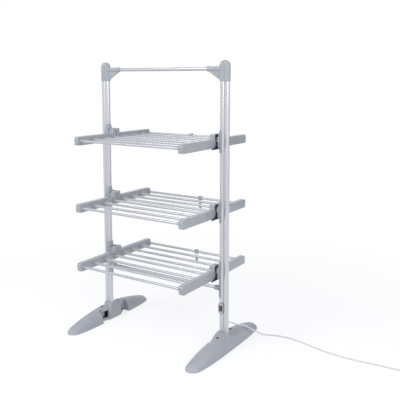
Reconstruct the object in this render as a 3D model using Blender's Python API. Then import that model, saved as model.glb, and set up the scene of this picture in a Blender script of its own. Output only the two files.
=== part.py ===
"""Heated clothes airer: two posts on folding feet carry three tiers, and each
tier is a front and a back wing of heated bars that fold up against the posts.

Metres, +Z up, front towards -Y. The origin is on the floor, midway between the posts.
A side is -1 for the left post and +1 for the right one. A way is -1 for the front
and +1 for the back.
"""
import bpy
import bmesh
from math import cos, sin, pi, radians, hypot
from mathutils import Matrix, Vector

# Whole airer
overall_height = 1.420
post_spacing = 0.750
running_gap = 0.0003
cut_overrun = 0.004

# Post: an extrusion of two round lobes side by side, with a groove between them
lobe_radius = 0.013
lobe_offset = 0.0115
groove_half_depth = 0.0085
lobe_wall = 0.0016
lobe_sweep = radians(120)
lobe_steps = 10
post_foot_height = 0.014

# Top cap, which carries the end of the top rail
cap_length = 0.101
cap_wall = 0.0030
dome_height = 0.024
dome_crown_share = 0.30
dome_steps = 4
cap_roof = 0.030
rail_drop = 0.041
rail_radius = 0.009
rail_seat_depth = 0.030
rail_socket_wall = 0.0030
rail_socket_reach = 0.099
gusset_half_width = 0.006
gusset_drop = 0.054

# Tiers, named from the top, by where the arms' top faces lie in the overall height
tier_place_shares = {"top": 0.73380, "middle": 0.49085, "lower": 0.27465}

# Arm, a hollow plastic box along each end of a wing
arm_inset = 0.043
arm_width = 0.028
arm_height = 0.045
arm_reach = 0.296
arm_wall = 0.0035
arm_edge = 0.0035
arm_edge_segments = 1
tip_corner = 0.009
inner_corner = 0.004
butt_gap = 0.0014
pivot_set = 0.0125
pivot_rise = 0.0125
pin_radius = 0.0035
pin_length = 0.020
hub_reach = 0.026
hub_corner = 0.007
hub_fillet = 0.005
corner_steps = 3
# Round boss on the arm's inner face where each bar goes in
boss_radius = 0.0105
boss_length = 0.010

# Heated bars
bars_per_wing = 4
bar_radius = 0.0065
bar_wall = 0.0010
first_bar = 0.032
last_bar_margin = 0.021
bar_drop = 0.0225
bar_seat_depth = 0.012
bar_sides = 10

# Tier bracket, which clips round the post's inner lobe
saddle_wall = 0.0030
saddle_wrap = radians(110)
saddle_rise = 0.045
saddle_drop = 0.066
lower_saddle_drop = 0.1355
neck_half_width = 0.0110
neck_rise = 0.0100
neck_drop = 0.0430
# Hinge plate beside the arms: a broad head that carries the pins, a waist and a foot
plate_thickness = 0.0050
plate_head_half_width = 0.0185
plate_head_drop = 0.0010
plate_waist_half_width = 0.0125
plate_waist_drop = 0.0085
plate_hip_half_width = 0.0200
plate_hip_drop = 0.0380
rest_half_length = 0.053
rest_drop = 0.0500
rest_tip_height = 0.0044
# Lip under each arm, which stops the wing when it is level
lip_start = 0.0182
lip_reach = 0.0140
lip_thickness = 0.0040
lip_fold_gap = 0.0005

# Cross tube between the lower brackets
cross_drop = 0.090
cross_radius = 0.008
cross_wall = 0.0012
cross_seat_depth = 0.016
cross_socket_wall = 0.0047
cross_socket_reach = 0.053

# Foot: a block under the post, with a folding half at its front and at its back
foot_half_length = 0.316
foot_half_width = 0.052
foot_height = 0.0755
foot_round_steps = 10
# Where each station lies from the post to the tip, and how high and how wide it is
foot_place_shares = (0.0, 0.16, 0.28, 0.4, 0.52, 0.63, 0.73, 0.82, 0.89, 0.93,
                     0.96, 0.98, 0.993, 1.0)
foot_height_shares = (1.0, 0.973, 0.925, 0.858, 0.772, 0.678, 0.58, 0.482, 0.4, 0.345,
                      0.265, 0.185, 0.107, 0.05)
foot_width_shares = (1.0, 1.0, 0.999, 0.994, 0.981, 0.955, 0.915, 0.858, 0.796, 0.743,
                     0.628, 0.485, 0.32, 0.12)
foot_hinge_set = 0.064
hinge_radius = 0.014
hinge_pin_radius = 0.003
hinge_pin_seat = 0.007
# The block's fork: a plate over and a plate under each half's tongue
fork_radius = 0.031
fork_steps = 8
fork_low = 0.016
fork_high = 0.054
screw_radius = 0.0035
screw_depth = 0.003
# The block's inner side, and the arched face on it that leans in to the collar
block_inner_width = 0.043
arch_reach = 0.044
arch_root = 0.006
arch_half_length = 0.044
arch_height = 0.080
arch_level_shares = (0.0, 0.50, 0.66, 0.80, 0.92, 1.0)
arch_reach_shares = (1.0, 1.0, 0.97, 0.90, 0.80, 0.69)
arch_length_shares = (1.0, 1.0, 0.93, 0.78, 0.56, 0.32)
collar_height = 0.083
collar_wall = 0.0045
collar_base_height = 0.052
collar_base_grow = 0.0160
collar_waist_height = 0.066
collar_waist_grow = 0.0100

# Switch on the front of the right post's inner lobe
switch_drop = 0.0515
plate_length = 0.060
plate_width = 0.025
plate_proud = 0.0035
plate_wrap_depth = 0.0070
housing_length = 0.029
housing_width = 0.0155
housing_depth = 0.0120
housing_wall = 0.0014
rocker_face_height = 0.0035
rocker_pivot_depth = 0.0045
rocker_tilt = radians(8)
rocker_dish = 0.0014
rocker_swing_gap = 0.0018
rocker_foot_depth = 0.0085

# Strain relief at the back of the right post's inner lobe
gland_height = 0.110
gland_flange_radius = 0.0085
gland_flange_proud = 0.0035
gland_boot_length = 0.030
gland_boot_root_radius = 0.0065
gland_boot_tip_radius = 0.0047
gland_neck_radius = 0.0055
gland_neck_depth = 0.0080
gland_sides = 12

# Mains cord, coil and plug
cord_radius = 0.0035
cord_step = 0.0185
cord_sides_resolution = 2
coil_turns = 3.25
coil_outer_radius = 0.0414
coil_pitch = 0.0078
coil_layer_step = 0.0078
coil_points_per_turn = 24
coil_tail = 0.035
plug_width = 0.048
plug_length = 0.044
plug_thickness = 0.021
plug_nose_width = 0.020
plug_nose_length = 0.012
plug_corner = 0.006
plug_pin_spread = 0.022
plug_earth_rise = 0.0222
plug_pin_width = 0.0064
plug_pin_thickness = 0.0040
plug_pin_length = 0.0177
plug_earth_width = 0.0040
plug_earth_height = 0.0080
plug_earth_length = 0.0227
plug_pin_root = 0.0100

# The cord's route over the right foot's back half and along the floor
cord_route = [
    (0.3635, 0.0540, 0.1100),
    (0.3645, 0.0600, 0.1085),
    (0.3680, 0.0690, 0.1040),
    (0.3750, 0.0870, 0.0950),
    (0.3820, 0.1060, 0.0842),
    (0.3900, 0.1240, 0.0765),
    (0.4020, 0.1400, 0.0715),
    (0.4180, 0.1540, 0.0640),
    (0.4370, 0.1720, 0.0470),
    (0.4570, 0.1960, 0.0270),
    (0.4790, 0.2210, 0.0110),
    (0.5050, 0.2420, 0.0037),
    (0.5400, 0.2570, 0.0036),
    (0.5900, 0.2640, 0.0036),
    (0.6500, 0.2600, 0.0036),
    (0.7200, 0.2440, 0.0036),
    (0.8000, 0.2240, 0.0036),
    (0.8900, 0.2120, 0.0036),
    (0.9800, 0.2120, 0.0036),
    (1.0700, 0.2200, 0.0036),
    (1.1500, 0.2240, 0.0036),
    (1.2100, 0.2240, 0.0036),
    (1.2350, 0.2240, 0.0036),
]

# Colours as red, green and blue, with roughness and metallic value
finishes = {
    "satin_aluminium": ((0.76, 0.77, 0.80), 0.32, 0.85),
    "silver_bar": ((0.84, 0.85, 0.87), 0.30, 0.80),
    "grey_plastic": ((0.36, 0.39, 0.43), 0.50, 0.0),
    "foot_plastic": ((0.38, 0.40, 0.44), 0.55, 0.0),
    "switch_plastic": ((0.30, 0.32, 0.36), 0.45, 0.0),
    "red_rocker": ((0.50, 0.03, 0.03), 0.35, 0.0),
    "white_flex": ((0.82, 0.82, 0.84), 0.50, 0.0),
    "white_plug": ((0.84, 0.84, 0.85), 0.40, 0.0),
}

# Places that follow from the sizes above
tier_heights = {tier: overall_height * share for tier, share in tier_place_shares.items()}
cross_height = tier_heights["lower"] - cross_drop
switch_height = tier_heights["lower"] - lower_saddle_drop - switch_drop
cap_low = overall_height - cap_length
rail_height = overall_height - rail_drop
post_x = post_spacing / 2
arm_outer = post_x - arm_inset
arm_inner = arm_outer - arm_width
hub_radius = pivot_set - butt_gap / 2
bar_half_length = arm_inner + bar_seat_depth
last_bar = arm_reach - last_bar_margin
bar_pitch = (last_bar - first_bar) / (bars_per_wing - 1)
hinge_block_end = foot_hinge_set - hinge_radius
switch_face_y = -lobe_radius - plate_proud
left, right, front, back = -1, 1, -1, 1
side_names = {left: "left", right: "right"}
way_names = {front: "front", back: "back"}


def clear_scene():
    for item in list(bpy.data.objects):
        bpy.data.objects.remove(item, do_unlink=True)


def finish_material(finish):
    """The Principled material of that name, made on first use."""
    material = bpy.data.materials.get(finish)
    if material:
        return material
    colour, roughness, metallic = finishes[finish]
    material = bpy.data.materials.new(finish)
    material.use_nodes = True
    shader = material.node_tree.nodes["Principled BSDF"]
    shader.inputs["Base Color"].default_value = (*colour, 1)
    shader.inputs["Roughness"].default_value = roughness
    shader.inputs["Metallic"].default_value = metallic
    return material


def add_object(name, bm, finish=None, parent=None):
    """Puts the mesh in the scene, with its faces turned out and its round sides smooth."""
    bmesh.ops.recalc_face_normals(bm, faces=bm.faces)
    mesh = bpy.data.meshes.new(name)
    bm.to_mesh(mesh)
    bm.free()
    mesh.shade_smooth()
    mesh.set_sharp_from_angle(angle=radians(35))
    item = bpy.data.objects.new(name, mesh)
    bpy.context.scene.collection.objects.link(item)
    if finish:
        mesh.materials.append(finish_material(finish))
    if parent:
        item.parent = parent
        item.matrix_parent_inverse = Matrix.Translation(-parent.location)
    return item


def add_axis(name, place):
    """An empty on a joint's axis, which carries the pieces that turn on it."""
    axis = bpy.data.objects.new(name, None)
    axis.location = place
    bpy.context.scene.collection.objects.link(axis)
    return axis


def arc(centre_a, centre_b, radius, start, end, steps):
    """Points of an arc in a plane, both ends included."""
    angles = [start + (end - start) * step / steps for step in range(steps + 1)]
    return [(centre_a + radius * cos(angle), centre_b + radius * sin(angle)) for angle in angles]


def circle(centre_a, centre_b, radius, sides):
    return arc(centre_a, centre_b, radius, pi / sides, 2 * pi + pi / sides, sides)[:-1]


def rings_into(bm, rings, looped=False):
    """Faces between rings of equally many points, with a cap on each end or a closed loop."""
    loops = [[bm.verts.new(point) for point in ring] for ring in rings]
    pairs = list(zip(loops, loops[1:]))
    if looped:
        pairs.append((loops[-1], loops[0]))
    else:
        bm.faces.new(loops[0])
        bm.faces.new(loops[-1])
    for first, second in pairs:
        for index in range(len(first)):
            following = (index + 1) % len(first)
            bm.faces.new((first[index], first[following], second[following], second[index]))


def along_x(outline, low, high):
    """Two rings of an outline in Y and Z, at two places along X."""
    return [[(x, a, b) for a, b in outline] for x in (low, high)]


def along_y(outline, low, high):
    return [[(a, y, b) for a, b in outline] for y in (low, high)]


def along_z(outline, low, high):
    return [[(a, b, z) for a, b in outline] for z in (low, high)]


def solid(name, *bodies, finish=None, parent=None):
    """An object of one or more bodies, each a list of rings."""
    bm = bmesh.new()
    for rings in bodies:
        rings_into(bm, rings)
    return add_object(name, bm, finish, parent)


def tube_along_x(name, half_length, y, z, radius, wall, finish, parent=None):
    outer = along_x(circle(y, z, radius, bar_sides), -half_length, half_length)
    inner = along_x(circle(y, z, radius - wall, bar_sides), half_length, -half_length)
    bm = bmesh.new()
    rings_into(bm, outer + inner, looped=True)
    return add_object(name, bm, finish, parent)


def box(x, y, z):
    """Rings of a box, from its low and high place along each axis."""
    outline = [(x[0], y[0]), (x[1], y[0]), (x[1], y[1]), (x[0], y[1])]
    return along_z(outline, z[0], z[1])


def combine(target, tool, operation):
    """Joins, cuts or trims the target by a tool, which is hidden from the model."""
    tool.hide_render = True
    tool.display_type = "WIRE"
    modifier = target.modifiers.new(tool.name, "BOOLEAN")
    modifier.operation = operation
    modifier.object = tool
    modifier.solver = "EXACT"


def bevel(target, width, segments, angle=radians(40)):
    modifier = target.modifiers.new("Edge", "BEVEL")
    modifier.width = width
    modifier.segments = segments
    modifier.limit_method = "ANGLE"
    modifier.angle_limit = angle


def lobed_outline(grow=0.0):
    """Plan of the post about its own middle, moved out by grow."""
    radius = lobe_radius + grow
    outer = arc(lobe_offset, 0, radius, -lobe_sweep, lobe_sweep, lobe_steps)
    inner = arc(-lobe_offset, 0, radius, pi - lobe_sweep, pi + lobe_sweep, lobe_steps)
    groove = groove_half_depth + grow
    return outer + [(0, groove)] + inner + [(0, -groove)]


def post_prism(side, grow, low, high):
    outline = [(side * post_x + a, b) for a, b in lobed_outline(grow)]
    return along_z(outline, low, high)


def inner_lobe_x(side):
    return side * (post_x - lobe_offset)


def make_post(side):
    """The hollow extrusion, from its seat in the foot to its seat in the cap."""
    name = side_names[side] + "_post"
    top = overall_height - cap_roof
    post = solid(name, post_prism(side, 0, post_foot_height, top), finish="satin_aluminium")
    bore_radius = lobe_radius - lobe_wall
    low, high = post_foot_height - cut_overrun, top + cut_overrun
    bores = []
    for lobe in (-lobe_offset, lobe_offset):
        bores.append(along_z(circle(side * post_x + lobe, 0, bore_radius, lobe_steps), low, high))
    combine(post, solid(name + "_bores", *bores), "DIFFERENCE")
    return post


def cut_post_openings(post):
    """The window for the switch's housing and the hole for the strain relief."""
    x = inner_lobe_x(right)
    half_width = housing_width / 2 + running_gap
    half_length = housing_length / 2 + running_gap
    window = box((x - half_width, x + half_width), (-lobe_radius - cut_overrun, 0),
                 (switch_height - half_length, switch_height + half_length))
    hole = along_y(circle(x, gland_height, gland_neck_radius + running_gap, gland_sides),
                   0, lobe_radius + cut_overrun)
    combine(post, solid("post_openings", window, hole), "DIFFERENCE")


def cap_rings(side):
    """The cap's outer skin: straight sides that follow the post, then a dome."""
    grow = running_gap + cap_wall
    outline = lobed_outline(grow)
    dome_low = overall_height - dome_height
    places = [(cap_low, 1), (dome_low, 1)]
    for step in range(1, dome_steps + 1):
        turn = pi / 2 * step / dome_steps
        spread = dome_crown_share + (1 - dome_crown_share) * cos(turn)
        places.append((dome_low + dome_height * sin(turn), spread))
    return [[(side * post_x + a * spread, b * spread, z) for a, b in outline]
            for z, spread in places]


def make_top_cap(side):
    """Domed cap with the socket that takes the rail, and the gusset under it."""
    name = side_names[side] + "_top_cap"
    cap = solid(name, cap_rings(side), finish="grey_plastic")
    socket_radius = rail_radius + running_gap + rail_socket_wall
    socket_end = side * (post_x - rail_socket_reach)
    socket = along_x(circle(0, rail_height, socket_radius, 2 * bar_sides),
                     socket_end, inner_lobe_x(side))
    combine(cap, solid(name + "_socket", socket), "UNION")
    corner = side * (post_x - rail_socket_reach + rail_socket_wall)
    outline = [(corner, rail_height), (corner, rail_height - socket_radius + gusset_half_width / 2),
               (side * (post_x - lobe_offset - lobe_radius), rail_height - gusset_drop),
               (inner_lobe_x(side), rail_height - gusset_drop), (inner_lobe_x(side), rail_height)]
    gusset = along_y(outline, -gusset_half_width, gusset_half_width)
    combine(cap, solid(name + "_gusset", gusset), "UNION")
    pocket = post_prism(side, running_gap, cap_low - cut_overrun,
                        overall_height - cap_roof + running_gap)
    combine(cap, solid(name + "_pocket", pocket), "DIFFERENCE")
    bore_end = socket_end + side * (rail_seat_depth + running_gap)
    bore = along_x(circle(0, rail_height, rail_radius + running_gap, 2 * bar_sides),
                   socket_end - side * cut_overrun, bore_end)
    combine(cap, solid(name + "_bore", bore), "DIFFERENCE")


def make_top_rail():
    half_length = post_x - rail_socket_reach + rail_seat_depth
    rail = along_x(circle(0, rail_height, rail_radius, 2 * bar_sides), -half_length, half_length)
    solid("top_rail", rail, finish="silver_bar")


def make_cross_tube():
    half_length = post_x - cross_socket_reach + cross_seat_depth
    tube_along_x("cross_tube", half_length, 0, cross_height, cross_radius, cross_wall,
                 "silver_bar")


def bracket_x(side, inward):
    """A place that far in from the middle of the post."""
    return side * (post_x - inward)


def make_bracket(tier, side):
    """Saddle round the post's inner lobe, with the neck, the pins and the rest for the arms."""
    name = tier + "_" + side_names[side] + "_bracket"
    level = tier_heights[tier]
    drop = lower_saddle_drop if tier == "lower" else saddle_drop
    outer_radius = lobe_radius + running_gap + saddle_wall
    wrap = arc(lobe_offset, 0, outer_radius, -saddle_wrap, saddle_wrap, lobe_steps)
    outline = [(bracket_x(side, a), b) for a, b in wrap]
    bracket = solid(name, along_z(outline, level - drop, level + saddle_rise),
                    finish="grey_plastic")
    face = arm_inset - running_gap
    neck = box((bracket_x(side, face - plate_thickness / 2), bracket_x(side, lobe_offset)),
               (-neck_half_width, neck_half_width), (level - neck_drop, level + neck_rise))
    combine(bracket, solid(name + "_neck", neck), "UNION")
    plate = along_x([(y, level + z) for y, z in hinge_plate_outline()],
                    bracket_x(side, face - plate_thickness), bracket_x(side, face))
    combine(bracket, solid(name + "_plate", plate), "UNION")
    lip_top = level - arm_height - running_gap
    lip_end = pivot_set + pivot_rise - lip_fold_gap
    for way in (front, back):
        lip = box((bracket_x(side, face - plate_thickness / 2), bracket_x(side, face + lip_reach)),
                  (way * lip_start, way * lip_end), (lip_top - lip_thickness, lip_top))
        combine(bracket, solid(name + "_lip_" + way_names[way], lip), "UNION")
    if tier == "lower":
        add_cross_socket(bracket, name, side)
    post_cut = post_prism(side, running_gap, level - drop - cut_overrun,
                          level + saddle_rise + cut_overrun)
    combine(bracket, solid(name + "_post", post_cut), "DIFFERENCE")
    pins = []
    for way in (front, back):
        pins.append(along_x(circle(way * pivot_set, level + pivot_rise, pin_radius, bar_sides),
                            bracket_x(side, face - cut_overrun),
                            bracket_x(side, arm_inset + pin_length)))
    combine(bracket, solid(name + "_pins", *pins), "UNION")


def hinge_plate_outline():
    """Side of the hinge plate: distance along Y, height above the arms' tops."""
    hub_top = pivot_rise + hub_radius
    half = [(rest_half_length, -rest_drop), (rest_half_length, rest_tip_height - rest_drop),
            (plate_hip_half_width, -plate_hip_drop), (plate_waist_half_width, -plate_waist_drop),
            (plate_head_half_width, -plate_head_drop)]
    half += arc(plate_head_half_width - hub_corner, hub_top - hub_corner, hub_corner,
                0, pi / 2, corner_steps)
    return half + [(-y, z) for y, z in reversed(half)]


def add_cross_socket(bracket, name, side):
    """Round cup on the lower bracket for the end of the cross tube."""
    radius = cross_radius + running_gap + cross_socket_wall
    end = bracket_x(side, cross_socket_reach)
    cup = along_x(circle(0, cross_height, radius, 2 * bar_sides),
                  bracket_x(side, lobe_offset), end)
    combine(bracket, solid(name + "_cup", cup), "UNION")
    bore = along_x(circle(0, cross_height, cross_radius + running_gap, bar_sides),
                   end - side * cut_overrun,
                   bracket_x(side, cross_socket_reach - cross_seat_depth - running_gap))
    combine(bracket, solid(name + "_bore", bore), "DIFFERENCE")


def arm_outline():
    """Side of an arm: distance out from the middle of the tier, height above the arm's top."""
    inner = butt_gap / 2
    hub_top = pivot_rise + hub_radius
    points = arc(inner + inner_corner, inner_corner - arm_height, inner_corner,
                 pi, 3 * pi / 2, corner_steps)
    points += arc(arm_reach - tip_corner, tip_corner - arm_height, tip_corner,
                  -pi / 2, 0, corner_steps)
    points += arc(arm_reach - tip_corner, -tip_corner, tip_corner, 0, pi / 2, corner_steps)
    points += arc(hub_reach + hub_fillet, hub_fillet, hub_fillet, -pi / 2, -pi, corner_steps)
    points += arc(hub_reach - hub_corner, hub_top - hub_corner, hub_corner,
                  0, pi / 2, corner_steps)
    points += arc(pivot_set, pivot_rise, hub_radius, pi / 2, pi, corner_steps + 1)
    return points


def bar_places():
    return [first_bar + bar_pitch * index for index in range(bars_per_wing)]


def make_arm(tier, way, side, axis):
    """Box arm with a raised hub, a wiring channel and the bars' seats in its inner face."""
    name = "_".join((tier, way_names[way], side_names[side], "arm"))
    level = tier_heights[tier]
    outline = [(way * s, level + z) for s, z in arm_outline()]
    arm = solid(name, along_x(outline, side * arm_inner, side * arm_outer),
                finish="grey_plastic", parent=axis)
    bevel(arm, arm_edge, arm_edge_segments)
    bosses = []
    for place in bar_places():
        boss = circle(way * place, level - bar_drop, boss_radius, bar_sides)
        bosses.append(along_x(boss, side * (arm_inner - boss_length), side * (arm_inner + arm_wall / 2)))
    combine(arm, solid(name + "_bosses", *bosses), "UNION")
    channel = box((side * (arm_inner + arm_wall), side * (arm_outer - arm_wall)),
                  (way * (butt_gap / 2 - cut_overrun), way * (arm_reach - arm_wall)),
                  (level - arm_height + arm_wall, level - arm_wall))
    combine(arm, solid(name + "_channel", channel), "DIFFERENCE")
    holes = []
    for place in bar_places():
        seat = circle(way * place, level - bar_drop, bar_radius + running_gap, bar_sides)
        holes.append(along_x(seat, side * (arm_inner - boss_length - cut_overrun),
                             side * (arm_inner + arm_wall + cut_overrun)))
    pivot = circle(way * pivot_set, level + pivot_rise, pin_radius + running_gap, bar_sides)
    holes.append(along_x(pivot, side * (arm_outer + cut_overrun),
                         side * (arm_outer - pin_length - running_gap)))
    combine(arm, solid(name + "_holes", *holes), "DIFFERENCE")


def make_wing(tier, way):
    """Two arms and the bars between them, carried by an empty on the fold axis."""
    level = tier_heights[tier]
    label = tier + "_" + way_names[way]
    axis = add_axis(label + "_axis", (0, way * pivot_set, level + pivot_rise))
    for side in (left, right):
        make_arm(tier, way, side, axis)
    for index, place in enumerate(bar_places()):
        tube_along_x(label + "_bar_" + str(index + 1), bar_half_length, way * place,
                     level - bar_drop, bar_radius, bar_wall, "silver_bar", axis)


def foot_section(x, y, half_width, height):
    """Upright section of a foot: flat under, and round from one edge over to the other."""
    outline = arc(0, 0, 1, 0, pi, foot_round_steps)
    return [(x + half_width * a, y, height * b) for a, b in outline]


def foot_size_at(distance):
    """Half width and height of a foot at a distance from the post's middle."""
    share = min(distance / foot_half_length, 1)
    for index in range(1, len(foot_place_shares)):
        low, high = foot_place_shares[index - 1], foot_place_shares[index]
        if share <= high:
            part = (share - low) / (high - low)
            break
    sizes = []
    for full, shares in ((foot_half_width, foot_width_shares), (foot_height, foot_height_shares)):
        sizes.append(full * (shares[index - 1] + (shares[index] - shares[index - 1]) * part))
    return sizes


def foot_rings(x, ends):
    """Sections of a foot between two places along Y, at the ends and at each station."""
    stations = [way * share * foot_half_length for share in foot_place_shares for way in (front, back)]
    places = sorted({y for y in stations if min(ends) < y < max(ends)} | set(ends))
    return [foot_section(x, y, *foot_size_at(abs(y))) for y in places]


def fork_outline(side, radius, root):
    """Plan of both forks in one: the root's width along the block, round ends at the pins."""
    x = side * post_x
    points = []
    for way in (front, back):
        start = pi if way == front else 0
        points += arc(x, way * foot_hinge_set, radius, start, start + pi, fork_steps)
    if root:
        outer = foot_half_width + cut_overrun
        low = x - (block_inner_width if side == right else outer)
        high = x + (block_inner_width if side == left else outer)
        points = ([(x - radius, -root), (low, -root), (low, root), (x - radius, root)][::-1]
                  + points[:fork_steps + 1]
                  + [(x + radius, -root), (high, -root), (high, root), (x + radius, root)]
                  + points[fork_steps + 1:])
    return points


def make_foot_block(side):
    """Block with the collar round the post, and a fork at each end for the folding halves."""
    name = side_names[side] + "_foot_block"
    x = side * post_x
    reach = foot_hinge_set + fork_radius + cut_overrun
    block = solid(name, foot_rings(x, (-reach, reach)), finish="foot_plastic")
    plan = along_z(fork_outline(side, fork_radius, hinge_block_end), -cut_overrun,
                   foot_height + cut_overrun)
    combine(block, solid(name + "_plan", plan), "INTERSECT")
    grows = [(collar_base_height, collar_base_grow), (collar_waist_height, collar_waist_grow),
             (collar_height, collar_wall)]
    collar = [[(x + a, b, z) for a, b in lobed_outline(grow)] for z, grow in grows]
    combine(block, solid(name + "_collar", collar), "UNION")
    arch = []
    for level, reach_share, length_share in zip(arch_level_shares, arch_reach_shares,
                                                arch_length_shares):
        near, far = (side * (post_x - across) for across in (arch_root, arch_reach * reach_share))
        length = arch_half_length * length_share
        arch.append([(a, b, arch_height * level) for a, b in
                     ((near, -length), (far, -length), (far, length), (near, length))])
    combine(block, solid(name + "_arch", arch), "UNION")
    slots = []
    holes = []
    for way in (front, back):
        slots.append(box((x - 2 * foot_half_width, x + 2 * foot_half_width),
                         (way * hinge_block_end, way * (reach + cut_overrun)),
                         (fork_low, fork_high)))
        y = way * foot_hinge_set
        seat = hinge_pin_seat + running_gap
        holes.append(along_z(circle(x, y, hinge_pin_radius + running_gap, bar_sides),
                             fork_low - seat, fork_high + seat))
        screw_low = foot_size_at(foot_hinge_set)[1] - screw_depth
        holes.append(along_z(circle(x, y, screw_radius, bar_sides), screw_low,
                             foot_height + cut_overrun))
    combine(block, solid(name + "_slots", *slots), "DIFFERENCE")
    combine(block, solid(name + "_holes", *holes), "DIFFERENCE")
    pocket = post_prism(side, running_gap, post_foot_height - running_gap,
                        collar_height + cut_overrun)
    combine(block, solid(name + "_pocket", pocket), "DIFFERENCE")


def foot_plan(side, way, points):
    """Turns places given as outward along the foot and inward across it, from the hinge."""
    return [(side * (post_x - across), way * (foot_hinge_set + along)) for along, across in points]


def make_foot_half(side, way):
    """Folding half of a foot: a tongue between the block's fork plates, cut away inward."""
    name = "_".join((side_names[side], way_names[way], "foot_half"))
    x = side * post_x
    axis = add_axis(name + "_axis", (x, way * foot_hinge_set, 0))
    knuckle = hinge_radius - running_gap
    start = foot_hinge_set - knuckle
    half = solid(name, foot_rings(x, (way * start, way * foot_half_length)),
                 finish="foot_plastic", parent=axis)
    beyond = foot_half_width + cut_overrun
    back_off = -knuckle - cut_overrun
    notch_end = arch_reach + 2 * running_gap
    notch = [(back_off, 0)] + arc(0, 0, knuckle, pi, pi / 2, 2 * corner_steps)
    notch += [(notch_end, knuckle), (notch_end, beyond), (back_off, beyond)]
    notch_body = along_z(foot_plan(side, way, notch), -cut_overrun, foot_height + cut_overrun)
    combine(half, solid(name + "_notch", notch_body), "DIFFERENCE")
    clear_radius = (fork_radius + running_gap) / cos(pi / 2 / fork_steps)
    plan = arc(0, 0, clear_radius, -pi / 2, 0, fork_steps // 2)
    plan += [(clear_radius, beyond), (back_off, beyond), (back_off, -clear_radius)]
    for label, low, high in (("under", -cut_overrun, fork_low + running_gap),
                             ("over", fork_high - running_gap, foot_height + cut_overrun)):
        plate = along_z(foot_plan(side, way, plan), low, high)
        combine(half, solid(name + "_" + label, plate), "DIFFERENCE")
    pin = circle(x, way * foot_hinge_set, hinge_pin_radius, bar_sides)
    pin_body = along_z(pin, fork_low - hinge_pin_seat, fork_high + hinge_pin_seat)
    combine(half, solid(name + "_pin", pin_body), "UNION")


def make_switch_housing():
    """Oval plate on the front of the post, with the housing that goes into the lobe."""
    x = inner_lobe_x(right)
    radius = plate_width / 2
    straight = plate_length / 2 - radius
    outline = arc(x, switch_height + straight, radius, 0, pi, 2 * corner_steps)
    outline += arc(x, switch_height - straight, radius, pi, 2 * pi, 2 * corner_steps)
    plate = solid("switch_housing", along_y(outline, switch_face_y,
                                            switch_face_y + plate_wrap_depth),
                  finish="switch_plastic")
    post_cut = post_prism(right, running_gap, switch_height - plate_length,
                          switch_height + plate_length)
    combine(plate, solid("switch_post_cut", post_cut), "DIFFERENCE")
    half_width, half_length = housing_width / 2, housing_length / 2
    housing = box((x - half_width, x + half_width),
                  (switch_face_y + running_gap, switch_face_y + housing_depth),
                  (switch_height - half_length, switch_height + half_length))
    combine(plate, solid("switch_housing_box", housing), "UNION")
    inner_width, inner_length = half_width - housing_wall, half_length - housing_wall
    well = box((x - inner_width, x + inner_width),
               (switch_face_y - cut_overrun, switch_face_y + housing_depth - housing_wall),
               (switch_height - inner_length, switch_height + inner_length))
    combine(plate, solid("switch_well", well), "DIFFERENCE")


def make_rocker():
    """Rocker that tilts about an axis across the post, and rests tilted to off."""
    x = inner_lobe_x(right)
    pivot_y = switch_face_y + rocker_pivot_depth
    axis = add_axis("rocker_axis", (x, pivot_y, switch_height))
    half_width = housing_width / 2 - housing_wall - running_gap
    half_length = housing_length / 2 - housing_wall - rocker_swing_gap
    crest = rocker_pivot_depth + rocker_face_height
    foot = rocker_foot_depth - rocker_pivot_depth
    outline = [(-crest, half_length), (rocker_dish - crest, 0), (-crest, -half_length),
               (0, -half_length), (foot, -half_length / 2), (foot, half_length / 2),
               (0, half_length)]
    turned = []
    for y, z in outline:
        turned.append((pivot_y + y * cos(rocker_tilt) - z * sin(rocker_tilt),
                       switch_height + y * sin(rocker_tilt) + z * cos(rocker_tilt)))
    solid("switch_rocker", along_x(turned, x - half_width, x + half_width),
          finish="red_rocker", parent=axis)


def make_gland():
    """Strain relief: a neck through the post's wall, a flange and a tapered boot."""
    x = inner_lobe_x(right)
    flange_end = lobe_radius + gland_flange_proud
    places = [(flange_end, gland_boot_root_radius),
              (flange_end + gland_boot_length, gland_boot_tip_radius)]
    rings = [[(a, y, b) for a, b in circle(x, gland_height, radius, gland_sides)]
             for y, radius in places]
    gland = solid("cord_gland", rings, finish="white_flex")
    flange = along_y(circle(x, gland_height, gland_flange_radius, gland_sides),
                     lobe_radius - gland_flange_proud, flange_end + running_gap)
    combine(gland, solid("gland_flange", flange), "UNION")
    post_cut = post_prism(right, running_gap, gland_height - 2 * gland_flange_radius,
                          gland_height + 2 * gland_flange_radius)
    combine(gland, solid("gland_post_cut", post_cut), "DIFFERENCE")
    neck = along_y(circle(x, gland_height, gland_neck_radius, gland_sides),
                   lobe_radius - gland_neck_depth, flange_end)
    combine(gland, solid("gland_neck", neck), "UNION")


def smooth_route(points, step):
    """Points a step apart along a smooth curve through the route's own points."""
    places = [Vector(point) for point in points]
    places = [2 * places[0] - places[1]] + places + [2 * places[-1] - places[-2]]
    fine = []
    samples = 16
    for index in range(1, len(places) - 2):
        before, start, end, after = places[index - 1:index + 3]
        for sample in range(samples):
            t = sample / samples
            fine.append(0.5 * (2 * start + (end - before) * t
                               + (2 * before - 5 * start + 4 * end - after) * t ** 2
                               + (3 * start - before - 3 * end + after) * t ** 3))
    fine.append(places[-2])
    return even_points(fine, step)


def even_points(fine, step):
    """The same curve with its points evenly spaced, as near the step as fits."""
    lengths = [0.0]
    for first, second in zip(fine, fine[1:]):
        lengths.append(lengths[-1] + (second - first).length)
    count = round(lengths[-1] / step)
    points = []
    index = 0
    for number in range(count + 1):
        wanted = lengths[-1] * number / count
        while index < len(lengths) - 2 and lengths[index + 1] < wanted:
            index += 1
        share = (wanted - lengths[index]) / (lengths[index + 1] - lengths[index])
        points.append(fine[index].lerp(fine[index + 1], share))
    return points


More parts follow.
